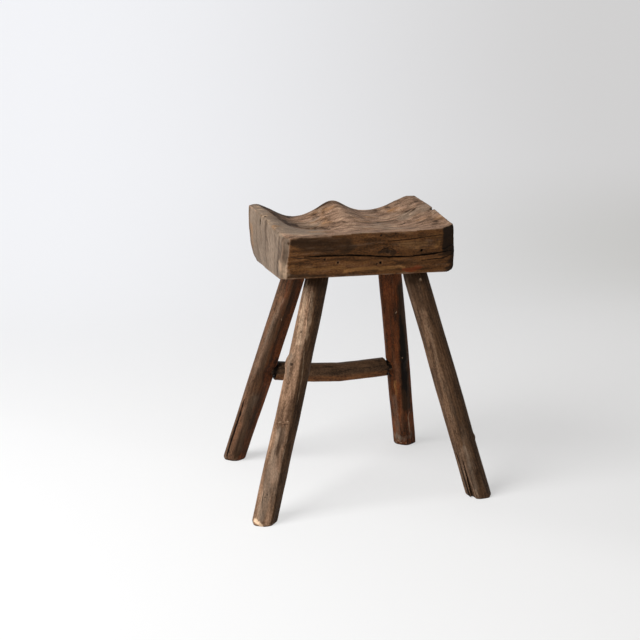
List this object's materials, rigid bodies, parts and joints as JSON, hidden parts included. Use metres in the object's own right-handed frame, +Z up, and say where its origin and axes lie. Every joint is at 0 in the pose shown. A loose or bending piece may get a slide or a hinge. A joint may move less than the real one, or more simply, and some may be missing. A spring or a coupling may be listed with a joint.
{
  "type": "stool",
  "caption": "Hand-hewn wooden saddle stool: a thick block seat carved with two scoops and a ridge, on splayed pole legs joined at the rear by a bowed stretcher.",
  "frame": {"origin": "on the floor, under the middle of the whole stool's box", "axes": "+X to the sitter's right along the seat's long side, +Y to the high back edge, +Z up"},
  "size_m": [0.4366, 0.3502, 0.507],
  "materials": {
    "seat_wood": "bare weathered hardwood, worn pale on the carved top and dark brown on the sides",
    "leg_wood": "bare weathered pole wood, hand smoothed, grey-brown",
    "rear_leg_wood": "bare weathered pole wood, darker and redder brown",
    "stretcher_wood": "bare weathered stick, grey-brown above and orange-brown below"
  },
  "bodies": {
    "root": {"seat": "seat_wood", "front_left_leg": "leg_wood", "front_right_leg": "leg_wood", "rear_left_leg": "rear_leg_wood", "rear_right_leg": "rear_leg_wood", "stretcher": "stretcher_wood"}
  },
  "joints": []
}
